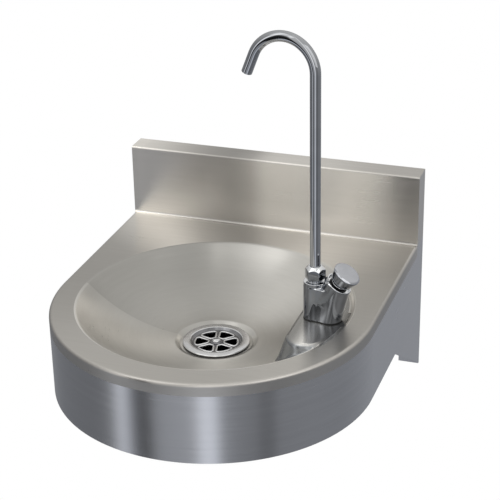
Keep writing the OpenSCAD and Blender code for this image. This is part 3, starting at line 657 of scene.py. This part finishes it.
def pressed_height(x, y):
    """Height of the pressing: the bowl, or the landing where that stands higher."""
    bowl = bowl_height(math.hypot(x, y))
    fall = landing_fall(y, landing_distance(x, y) + bend_radius(y))
    if fall > BOWL_DEPTH + 2 * FOOT_BLEND:
        return bowl
    blend = TOP_BLEND + (FOOT_BLEND - TOP_BLEND) * min(fall / FOOT_DROP, 1.0)
    return min(soft_top(bowl, -LANDING_DROP - fall, blend), 0.0)


def plan_point(x, y, inset):
    """The point of the basin's plan outline in the direction of x, y from the bowl's centre."""
    angle = math.atan2(y, x)
    dx, dy = math.cos(angle), math.sin(angle)
    reach = []
    if abs(dx) > 1e-9:
        reach.append((HALF_W - inset) / abs(dx))
    if dy > 1e-9:
        reach.append(BACK / dy)
    far = min(reach) if reach else 1e9
    if far * dy < FRONT:
        back_off = -dy * FRONT
        far = -back_off + math.sqrt(back_off ** 2 - FRONT ** 2 + (HALF_W - inset) ** 2)
    return far * dx, far * dy


def top_section():
    """The section that is turned: the grid's recess, the bowl's wall, its rolled rim and a ring of deck."""
    wall = [WALL_START + WALL_STEP * i for i in range(WALL_POINTS)]
    roll = [ROLL_START + (BOWL_R - ROLL_START) * i / (ROLL_POINTS - 1) for i in range(ROLL_POINTS)]
    return RECESS_SECTION + [(r, bowl_height(r)) for r in wall + roll + [BOWL_R + 0.7, RING_R]]


def press_landing(top):
    """Divides the faces round the landing more finely and presses it in."""
    def near_landing(face):
        x, y = face.center.x / MM, face.center.y / MM
        return math.hypot(x, y) < BOWL_R + RIM_REACH and -FINE_INSIDE < landing_distance(x, y) < FINE_OUTSIDE

    pick(top, "FACE", near_landing)
    bpy.ops.mesh.subdivide(number_cuts=3)
    close()
    for vertex in top.data.vertices:
        x, y = vertex.co.x / MM, vertex.co.y / MM
        if RECESS_R + 1.0 < math.hypot(x, y) < RING_R - 1.0:
            vertex.co.z = pressed_height(x, y) * MM


def pull_out_deck(top):
    """Extrudes the outer ring to the basin's plan, up to where the edge folds down."""
    def on_ring(edge):
        ends = [top.data.vertices[i].co for i in edge.vertices]
        return min(math.hypot(end.x, end.y) for end in ends) > (RING_R - RING_MARGIN) * MM

    pick(top, "EDGE", on_ring)
    close()
    for inset in (FOLD_R + FOLD_RING, FOLD_R):
        edit(top, "EDGE")
        bpy.ops.mesh.extrude_region_move()
        close()
        ring = [vertex for vertex in top.data.vertices if vertex.select]
        for vertex in ring:
            vertex.co = Vector((*plan_point(vertex.co.x, vertex.co.y, inset), 0)) * MM
        for side in (-1, 1):
            corner = Vector((side * (HALF_W - inset), BACK, 0)) * MM
            min(ring, key=lambda vertex: (vertex.co - corner).length).co = corner


def fold_edge_down(top):
    """Folds the sides and the front down over a small radius, and leaves the back open."""
    chain = {vertex.index for vertex in top.data.vertices if vertex.select}
    on_back = {i for i in chain if abs(top.data.vertices[i].co.y - BACK * MM) < 1e-6}
    pick(top, "EDGE", lambda edge: set(edge.vertices) <= chain and not set(edge.vertices) <= on_back)
    bends = [math.radians(15 * i) for i in range(1, 7)]
    fold = [(FOLD_R * (1 - math.sin(bend)), -FOLD_R * (1 - math.cos(bend))) for bend in bends]
    for inset, height in fold + [(0.0, -FOLD_R - 0.5), (0.0, -EDGE_DROP)]:
        edit(top, "EDGE")
        bpy.ops.mesh.extrude_region_move()
        close()
        for vertex in top.data.vertices:
            if not vertex.select:
                continue
            x, y = vertex.co.x / MM, vertex.co.y / MM
            if y > FRONT:
                x = math.copysign(HALF_W - inset, x)
            else:
                out = Vector((x, y - FRONT)).normalized() * (HALF_W - inset)
                x, y = out.x, out.y + FRONT
            vertex.co = Vector((x, y, height)) * MM


def finish_top(top):
    """Deck, bowl and landing each get their own steel, with their own painted reflections, and painted shade on
    the landing's sides.
    """
    add_finishes(top, deck_steel, bowl_steel, landing_steel)
    for face in top.data.polygons:
        r = math.hypot(face.center.x, face.center.y - BOWL_Y * MM) / MM
        in_bowl = r < BOWL_R - 0.5
        raised = in_bowl and r > RECESS_R + 5.0 and face.center.z / MM - DECK_Z > bowl_height(r) + SHEET
        face.material_index = 2 if raised else 1 if in_bowl else 0


def pressed_top():
    """Deck, bowl and landing pressed from one sheet: turned, then pulled out to the plan and folded down."""
    top = lathe("pressed_top", top_section(), steps=240, closed=False)
    press_landing(top)
    pull_out_deck(top)
    fold_edge_down(top)
    place(top, AT_BOWL)
    face_out(top)
    if sum(face.normal.z * face.area for face in top.data.polygons) < 0:
        edit_all(top)
        bpy.ops.mesh.flip_normals()
        close()
    use(top, "SOLIDIFY", thickness=SHEET * MM, offset=-1.0, use_even_offset=True)
    smooth(top, 60.0)
    finish_top(top)
    dress(top, "basin", "satin_steel", "basin_top")


FILLET_R, FILLET_LIFT, FILLET_END_GAP = 2.6, 0.01, 0.3


def junction_fillet():
    """The small concave radius where the splashback rises from the deck."""
    foot = BACK_Y - FILLET_R
    bends = [math.radians(15 * i) for i in range(7)]
    arc = [(foot + FILLET_R * math.sin(bend), FILLET_R - FILLET_R * math.cos(bend) + FILLET_LIFT)
           for bend in bends]
    half = HALF_W - FILLET_END_GAP
    strip = bar("junction_fillet", arc + [(BACK_Y, 0.0), (foot, 0.0)], 2 * half)
    place(strip, Matrix(((0, 0, 1, -half * MM), (1, 0, 0, 0), (0, 1, 0, DECK_Z * MM), (0, 0, 0, 1))))
    smooth(strip, 40.0)
    add_finishes(strip, splash_steel)
    dress(strip, "basin", "satin_steel")


# Waste: heights in mm from the deck

GRID_TURN = math.radians(14.0)
PLATE_Z, PLATE_THICK, FLANGE_Z = -44.5, 1.5, -42.0
PETAL_INNER_R, PETAL_OUTER_R, PETAL_CORNER_R, RIB = 8.0, 20.4, 2.2, 4.2
PETAL_RIM_R, PETAL_RIM_OUT, PETAL_RIM_SUNK = 0.95, 0.45, 0.25
SCREW_Z, SCREW_LENGTH, SCREW_R = PLATE_Z + 1.0, 19.0, 3.0


def petal_outline(grow=0.0):
    """Points round one petal opening: round ends, sides parallel to the ribs."""
    points = []

    def arc(cx, cy, r, start, end, steps):
        for i in range(steps + 1):
            angle = math.radians(start + (end - start) * i / steps)
            points.append((cx + r * math.cos(angle), cy + r * math.sin(angle)))

    side = RIB / 2 + PETAL_CORNER_R
    far_r, near_r = PETAL_OUTER_R - PETAL_CORNER_R, PETAL_INNER_R + PETAL_CORNER_R
    wide, narrow = (30 - math.degrees(math.asin(side / r)) for r in (far_r, near_r))
    far_x, far_y = far_r * math.cos(math.radians(wide)), far_r * math.sin(math.radians(wide))
    near_x, near_y = near_r * math.cos(math.radians(narrow)), near_r * math.sin(math.radians(narrow))
    r = PETAL_CORNER_R + grow
    arc(far_x, -far_y, r, -120, -wide, 7)
    arc(0, 0, PETAL_OUTER_R + grow, -wide * 0.7, wide * 0.7, 4)
    arc(far_x, far_y, r, wide, 120, 7)
    arc(near_x, near_y, r, 120, 180 + narrow, 5)
    arc(near_x, -near_y, r, 180 - narrow, 240, 5)
    return points


def six_round(piece):
    """A piece and five copies of it, turned round the grid's axis."""
    ring = [piece]
    for i in range(1, 6):
        twin = copy_of(piece, f"{piece.name}_{i}")
        place(twin, turn(math.radians(60 * i)))
        ring.append(twin)
    return ring


def petal_rim():
    """The rolled rim of one petal opening: a round wire along its outline."""
    curve = bpy.data.curves.new("petal_rim", "CURVE")
    curve.dimensions = "3D"
    curve.bevel_depth = PETAL_RIM_R * MM
    curve.bevel_resolution = 4
    spline = curve.splines.new("POLY")
    points = petal_outline(PETAL_RIM_OUT)
    spline.points.add(len(points) - 1)
    for point, (x, y) in zip(spline.points, points):
        point.co = (x * MM, y * MM, (PLATE_Z - PETAL_RIM_SUNK) * MM, 1.0)
    spline.use_cyclic_u = True
    rim = bpy.data.objects.new("petal_rim", curve)
    bpy.context.scene.collection.objects.link(rim)
    choose(rim)
    bpy.ops.object.convert(target="MESH")
    return bpy.context.object


def waste_grid():
    """Flange, dish and spigot turned in one piece, with petal openings, their rolled rims and a boss."""
    section = [(0.0, PLATE_Z), (22.4, PLATE_Z), (23.0, PLATE_Z + 0.05), (23.6, PLATE_Z + 0.35),
               (25.1, FLANGE_Z - 0.25), (25.6, FLANGE_Z), (26.2, FLANGE_Z + 0.03), (31.0, FLANGE_Z),
               (31.9, FLANGE_Z - 0.2), (32.4, FLANGE_Z - 0.7), (32.5, FLANGE_Z - 1.2),
               (32.3, FLANGE_Z - PLATE_THICK), (26.2, FLANGE_Z - PLATE_THICK), (24.2, PLATE_Z - 0.2),
               (24.2, PLATE_Z - 6.0), (23.0, PLATE_Z - 6.0), (23.0, PLATE_Z - PLATE_THICK),
               (0.0, PLATE_Z - PLATE_THICK)]
    grid = lathe("waste_grid_rims", section, steps=128)
    tool = bar("petal_tool", petal_outline(), 8.0)
    place(tool, shift(0, 0, PLATE_Z - 4.0))
    for petal in six_round(tool):
        cut(grid, petal)
    rims = six_round(petal_rim())
    boss_section = [(3.05, PLATE_Z - 1.0), (5.6, PLATE_Z - 1.0), (6.0, PLATE_Z + 0.5), (5.7, PLATE_Z + 0.95),
                    (5.2, SCREW_Z), (3.05, SCREW_Z)]
    join(grid, lathe("grid_boss", boss_section, steps=64), *rims)
    place(grid, AT_BOWL @ turn(GRID_TURN))
    smooth(grid, 40.0)
    add_finishes(grid, bright_steel, painted_shade_plate_steel)
    # The plate, boss and dish side get the painted shade steel.
    for face in grid.data.polygons:
        height = face.center.z / MM - DECK_Z - PLATE_Z
        r = math.hypot(face.center.x, face.center.y - BOWL_Y * MM) / MM
        on_boss = r < 6.5
        on_plate = height < 0.02 and r < 23.5 and abs(face.normal.z) > 0.5
        on_dish_side = 22.5 < r < 25.2
        face.material_index = 1 if on_boss or on_plate or on_dish_side else 0
    dress(grid, "basin", "bright_steel", "waste_grid")


def centre_screw():
    """Slotted round-head screw in the middle of the grid."""
    tip = SCREW_Z - SCREW_LENGTH
    section = [(0.0, SCREW_Z + 2.2), (2.0, SCREW_Z + 2.1), (3.2, SCREW_Z + 1.75), (3.85, SCREW_Z + 1.15),
               (4.1, SCREW_Z + 0.5), (4.1, SCREW_Z), (SCREW_R, SCREW_Z), (SCREW_R, tip),
               (SCREW_R - 0.4, tip - 0.4), (0.0, tip - 0.4)]
    screw = lathe("centre_screw_head", section, steps=64)
    slot = bar("slot_tool", [(-5, -0.6), (5, -0.6), (5, 0.6), (-5, 0.6)], 3.0)
    place(slot, shift(0, 0, SCREW_Z + 1.0) @ turn(math.radians(24)))
    cut(screw, slot)
    place(screw, AT_BOWL)
    smooth(screw, 40.0)
    add_finishes(screw, bright_steel)
    dress(screw, "basin", "bright_steel", "centre_screw")


# Tap: sizes in mm from the landing and the tap's axis, and along the button's leaning axis

FOOT_Z, LOBE_R, LOBE_TOP, WEB_R, WEB_TOP = 0.6, 11.0, 37.5, 10.95, 33.5
SWELL_LOW, WEB_END, WEB_END_OUT, WEB_SWELL = 1.5, 7.5, 4.5, 32.0
FOOT_OUT, FOOT_WIDE, FOOT_WIDER, FOOT_DEEP, FOOT_DEEPER, FOOT_SWELL = 8.0, 10.9, 1.6, 11.0, 1.4, 35.5
NIPPLE_R, NIPPLE_TOP = 6.9, 47.0
BARREL_R, BARREL_WIDER, BARREL_LOW, BARREL_TOP = 10.8, 1.6, 22.0, 46.7
SEAT_R, SEAT_LOW = 11.3, 44.4
GUIDE_R, GUIDE_LOW, VALVE_R, VALVE_LOW = 9.0, 30.9, 6.5, 9.0
SPOUT_BORE_R, SPOUT_BORE_LOW = 5.6, 24.0
INLET_R, INLET_TOP = 8.4, 9.0


def join_soft(a, b, k):
    """Distance to two forms together, blended over k."""
    mix = np.maximum(k - np.abs(a - b), 0.0) / k
    return np.minimum(a, b) - mix * mix * k / 4


def cut_soft(a, b, k):
    """Distance to form a with form b cut away, the edge eased over k."""
    return -join_soft(-a, b, k)


def drum(radial, low, high, ease):
    """Distance to a round drum from its radial and its two end distances, with eased edges."""
    side, end = radial + ease, np.maximum(low, high) + ease
    return np.minimum(np.maximum(side, end), 0) + np.hypot(np.maximum(side, 0), np.maximum(end, 0)) - ease


def tap_distance(p):
    """Distance in mm to the tap body: p holds points in the tap's own frame."""
    x, y, z = p[:, 0], p[:, 1], p[:, 2]
    along = (x - BUTTON_X) * math.sin(LEAN) + z * math.cos(LEAN)
    from_axis = np.hypot((x - BUTTON_X) * math.cos(LEAN) - z * math.sin(LEAN), y)
    from_spout = np.hypot(x - SPOUT_X, y)
    lobe = drum(from_spout - LOBE_R, FOOT_Z - z, z - LOBE_TOP, 0.5)
    web_end = WEB_END + WEB_END_OUT * np.clip((z - SWELL_LOW) / WEB_SWELL, 0, 1)
    web = drum(np.hypot(x - np.clip(x, SPOUT_X, web_end), y) - WEB_R, FOOT_Z - z, z - WEB_TOP, 0.5)
    rise = np.clip((z - SWELL_LOW) / FOOT_SWELL, 0, 1)
    wide, deep = FOOT_WIDE + FOOT_WIDER * rise, FOOT_DEEP + FOOT_DEEPER * rise
    oval = (np.hypot((x - WEB_END - FOOT_OUT * rise) / wide, y / deep) - 1) * FOOT_DEEP
    foot = drum(oval, FOOT_Z - z, along - BARREL_TOP, 0.5)
    barrel_r = BARREL_R + BARREL_WIDER * np.clip((along - BARREL_LOW) / (SEAT_LOW - BARREL_LOW), 0, 1)
    barrel = drum(from_axis - barrel_r, BARREL_LOW - along, along - BARREL_TOP, 0.6)
    form = join_soft(join_soft(lobe, web, 1.2), join_soft(foot, barrel, 1.5), 2.0)
    nipple = np.maximum(from_spout - NIPPLE_R, np.maximum(FOOT_Z - z, z - NIPPLE_TOP))
    form = np.minimum(form, nipple)
    form = cut_soft(form, np.maximum(from_axis - SEAT_R, SEAT_LOW - along), 0.5)
    guide_bore = np.maximum(from_axis - GUIDE_R, GUIDE_LOW - along)
    valve_bore = np.maximum(from_axis - VALVE_R, np.maximum(VALVE_LOW - along, along - GUIDE_LOW - 0.1))
    spout_bore = np.maximum(from_spout - SPOUT_BORE_R, SPOUT_BORE_LOW - z)
    inlet_bore = np.maximum(np.hypot(x, y) - INLET_R, z - INLET_TOP)
    for bore in (guide_bore, valve_bore, spout_bore, inlet_bore):
        form = np.maximum(form, -bore)
    return form


def draw_onto(p, distance, passes=8, step=0.02, longest=0.7):
    """Moves points onto the surface where a distance is zero."""
    for _ in range(passes):
        ahead = [distance(p + step * axis) - distance(p - step * axis) for axis in np.eye(3)]
        slope = np.stack(ahead, 1) / (2 * step)
        steepness = np.maximum((slope ** 2).sum(1), 0.25)
        p = p - np.clip(distance(p) / steepness, -longest, longest)[:, None] * slope
    return p


def tap_body():
    """Cast tap body: the rough form of the solid, drawn onto smooth lobes with eased rims."""
    body = solid_copy("tap_body", "tap_casting")
    choose(body)
    body.data.remesh_voxel_size = 0.5 * MM
    bpy.ops.object.voxel_remesh()
    places = np.zeros(len(body.data.vertices) * 3)
    body.data.vertices.foreach_get("co", places)
    at_tap = np.array(AT_TAP)
    turned, origin = at_tap[:3, :3], at_tap[:3, 3]
    p = draw_onto((places.reshape(-1, 3) - origin) @ turned / MM, tap_distance)
    body.data.vertices.foreach_set("co", ((p * MM) @ turned.T + origin).ravel())
    body.data.update()
    choose(body)
    bpy.ops.object.shade_smooth()
    add_finishes(body, painted_dark_chrome)
    dress(body, "basin", "chrome", "tap_body")


def base_gasket():
    """The rubber gasket, drawn in a little under the casting's foot."""
    gasket = solid_copy("base_gasket", "gasket_sheet")
    use(gasket, "DISPLACE", strength=-0.3 * MM, mid_level=0.0)
    smooth(gasket, 35.0)
    add_finishes(gasket, rubber)
    dress(gasket, "basin", "rubber", "base_gasket")


NUT_FLAT_R, NUT_LOW, NUT_TOP, NUT_TURN = 8.5, 40.5, 52.8, math.radians(14)


def gland_nut():
    """Hexagon nut with a turned cone on top and eased corners."""
    corner_r = NUT_FLAT_R / math.cos(math.radians(30))
    corners = [math.radians(60 * i) for i in range(6)]
    outline = [(corner_r * math.cos(corner), corner_r * math.sin(corner)) for corner in corners]
    nut = bar("gland_nut_hex", outline, NUT_TOP - NUT_LOW)
    place(nut, shift(0, 0, NUT_LOW))
    section = [(0.0, NUT_LOW), (8.9, NUT_LOW), (10.2, 41.2), (10.2, 48.3), (8.6, 50.3), (6.5, 52.5),
               (6.1, NUT_TOP), (0.0, NUT_TOP)]
    cut(nut, lathe("gland_form", section, steps=96), "INTERSECT")
    bore = [(0.0, 39.0), (6.95, 39.0), (6.95, 49.5), (5.2, 49.6), (5.2, 54.0), (0.0, 54.0)]
    cut(nut, lathe("gland_bore", bore, steps=64))
    use(nut, "BEVEL", width=0.18 * MM, segments=2, limit_method="ANGLE", angle_limit=math.radians(28))
    place(nut, AT_SPOUT @ turn(NUT_TURN))
    smooth(nut, 32.0)
    add_finishes(nut, painted_dark_chrome)
    dress(nut, "basin", "chrome", "gland_nut")


def button():
    """Push button: flat face, bevelled rim and tapered skirt, hollow underneath."""
    outside = [(0.0, 62.0), (11.1, 62.0), (11.45, 61.96), (11.8, 61.8), (12.85, 60.9), (13.12, 60.6),
               (13.2, 60.25), (13.2, 59.4), (13.1, 59.1), (12.85, 59.0), (12.75, 58.85), (12.68, 58.5),
               (10.86, 51.2), (10.7, 50.9), (10.4, 50.8), (9.9, 50.8), (9.6, 51.0)]
    underneath = [(9.6, 58.5), (5.0, 58.5), (5.0, 55.0), (3.55, 55.0), (3.55, 59.5), (0.0, 59.5)]
    cap = lathe("button_face", outside + underneath, steps=128)
    place(cap, AT_BUTTON)
    smooth(cap, 24.0)
    add_finishes(cap, face_chrome_painted_lighter, painted_dark_chrome)
    # Painted light: the face that looks along the press axis gets the lighter chrome, the sides the dark one.
    for face in cap.data.polygons:
        face.material_index = 0 if face.normal.dot(-PRESS_AXIS) > 0.6 else 1
    dress(cap, "button", "chrome", "button_cap")


pressed_top()
junction_fillet()
waste_grid()
centre_screw()
tap_body()
base_gasket()
gland_nut()
button()


# Camera: it stands where the photograph was taken from

PICTURE_PX, FOCAL_PX, SENSOR = 500.0, 1501.3, 36.0
AZIMUTH, ELEVATION, ROLL = (math.radians(angle) for angle in (19.281, 25.044, -1.100))
AIM, DISTANCE = Vector((22.00, -160.0, 7.75)), 1441.2


def add_camera():
    data = bpy.data.cameras.new("Photo view")
    camera = bpy.data.objects.new("Photo view", data)
    bpy.context.scene.collection.objects.link(camera)
    data.sensor_width = SENSOR
    data.lens = FOCAL_PX / PICTURE_PX * SENSOR
    data.clip_start, data.clip_end = 0.1, 20.0
    back = Vector((math.sin(AZIMUTH) * math.cos(ELEVATION), -math.cos(AZIMUTH) * math.cos(ELEVATION),
                   math.sin(ELEVATION)))
    right = (-back).cross(Vector((0, 0, 1))).normalized()
    up = right.cross(-back)
    turned_right = right * math.cos(ROLL) + up * math.sin(ROLL)
    turned_up = up * math.cos(ROLL) - right * math.sin(ROLL)
    stand = Matrix((turned_right, turned_up, back)).transposed().to_4x4()
    stand.translation = AIM * MM + back * DISTANCE * MM
    camera.matrix_world = stand
    bpy.context.scene.camera = camera


# Light

BAND_TOP = 2.0
ROOM_BANDS = [
    (-180, 0.6), (-150, 0.52), (-110, 0.42), (-68, 0.38), (-54, 0.42), (-50, 1.9), (-43, 1.9), (-40, 0.3),
    (-37, 0.03), (-26, 0.03), (-22, 0.8), (2, 0.8), (6, 0.85), (10, 2.0), (19, 2.0), (23, 0.8), (27, 0.6),
    (38, 0.5), (48, 0.45), (52, 0.32), (60, 0.32), (64, 0.5), (90, 0.55), (120, 0.55), (150, 0.64),
    (170, 0.64), (180, 0.6)]
ROOM_HEIGHTS = [
    (0.0, (0.42, 0.44, 0.48)), (0.30, (0.52, 0.54, 0.58)), (0.48, (0.80, 0.80, 0.81)),
    (0.72, (1.0, 0.995, 0.97)), (1.0, (1.0, 1.0, 0.98))]


def add_world():
    """White for the camera, and a plain room with soft bright and dark bands for the metal."""
    world = bpy.data.worlds.new("Studio")
    bpy.context.scene.world = world
    world.use_nodes = True
    world.node_tree.nodes.clear()
    tree = NodeTree(world.node_tree)
    parts = tree.parts(tree.add("TexCoord").outputs["Generated"])
    azimuth = tree.calc("ARCTAN2", parts["X"], tree.calc("MULTIPLY", parts["Y"], -1.0))
    stops = [((angle + 180) / 360, grey) for angle, grey in ROOM_BANDS]
    bands = tree.greys(tree.spread(azimuth, -math.pi, math.pi), stops, BAND_TOP, "LINEAR")
    heights = tree.colours(tree.spread(parts["Z"], -1.0, 1.0), ROOM_HEIGHTS, "B_SPLINE")
    room = tree.mix(tree.spread(parts["Z"], 0.1, 0.8, 1.0, 0.4), heights, bands, "MULTIPLY")
    by_camera = tree.add("LightPath").outputs["Is Camera Ray"]
    sky = tree.add("Background", {"Color": tree.mix(by_camera, room, (1.0, 1.0, 1.0, 1.0))})
    tree.add("OutputWorld", {"Surface": sky.outputs["Background"]})


def add_lamp(name, stand, target, size, watts):
    data = bpy.data.lights.new(name, "AREA")
    data.shape = "RECTANGLE"
    data.size, data.size_y = size
    data.energy = watts
    lamp = bpy.data.objects.new(name, data)
    bpy.context.scene.collection.objects.link(lamp)
    lamp.location = stand
    lamp.rotation_euler = (Vector(target) - Vector(stand)).to_track_quat("-Z", "Y").to_euler()


def add_floor():
    """Plain pale floor below the wall-hung part, white for the camera."""
    bpy.ops.mesh.primitive_circle_add(vertices=96, radius=1.1, fill_type="NGON", location=(0, -0.1, -0.75))
    floor = bpy.context.object
    floor.name = "Floor"
    bpy.ops.object.transform_apply(location=True, rotation=True, scale=True)
    pale = Finish("Pale floor", 0.0)
    pale.set("Base Color", (0.72, 0.72, 0.72, 1.0))
    pale.set("Roughness", 0.9)
    by_camera = pale.add("LightPath").outputs["Is Camera Ray"]
    glow = pale.add("Emission").outputs["Emission"]
    both = pale.add("MixShader", {"Fac": by_camera, 1: pale.shader.outputs["BSDF"], 2: glow})
    pale.feed(pale.nodes["Material Output"].inputs["Surface"], both.outputs["Shader"])
    add_finishes(floor, pale)
    floor.visible_glossy = False


add_camera()
bpy.context.scene.view_settings.view_transform = "Standard"
add_world()
add_lamp("Key", (-0.9, -1.3, 1.9), (0.0, -0.2, 0.0), (1.6, 1.6), 5.0)
add_lamp("Fill", (1.3, -0.9, 0.9), (0.0, -0.2, 0.0), (1.2, 1.6), 4.0)
add_floor()
